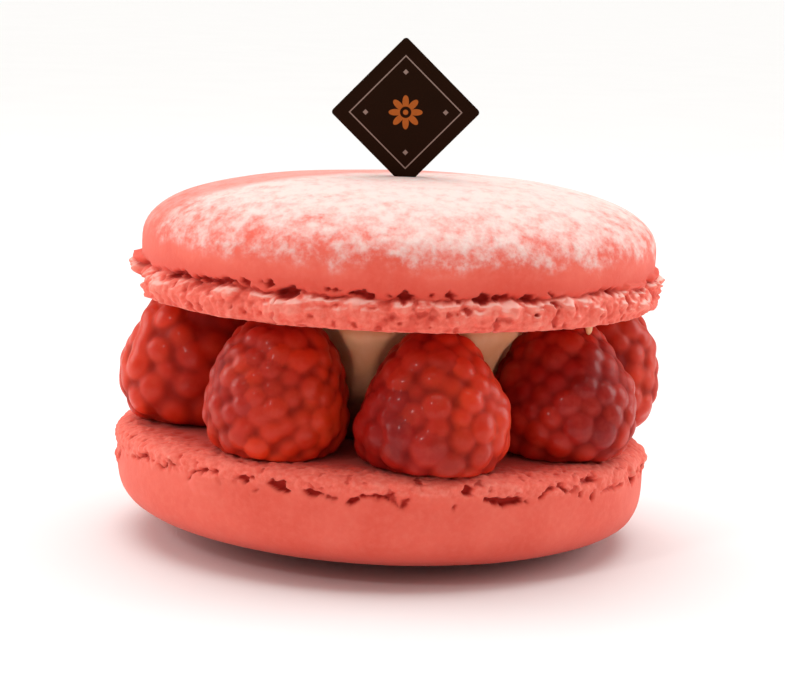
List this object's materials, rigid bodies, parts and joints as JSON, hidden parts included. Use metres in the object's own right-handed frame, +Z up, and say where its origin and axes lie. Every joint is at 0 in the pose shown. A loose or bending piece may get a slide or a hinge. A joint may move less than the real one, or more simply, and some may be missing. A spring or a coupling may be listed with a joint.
{
  "type": "french macaron",
  "caption": "Large pink french macaron filled with a ring of whole berries round a core of cream, with a small dark chocolate plaque on top.",
  "frame": {"origin": "middle of the flat spot under the lower shell that it rests on", "axes": "+Z up through both shells, -Y towards the front that the plaque faces, +X to the right seen from the front"},
  "size_m": [0.0787, 0.0765, 0.0708],
  "materials": {
    "shell_crust": "matt smooth baked meringue with a crumbly foot, the upper dome dusted with icing sugar",
    "cream": "smooth soft pale cream",
    "berry": "juicy red drupelets with a fine bloom and soft shine",
    "chocolate": null
  },
  "bodies": {
    "root": {"upper_shell": "shell_crust", "lower_shell": "shell_crust", "cream": "cream", "berry_1": "berry", "berry_2": "berry", "berry_3": "berry", "berry_4": "berry", "berry_5": "berry", "berry_6": "berry", "berry_7": "berry", "berry_8": "berry", "plaque": "chocolate"}
  },
  "joints": []
}
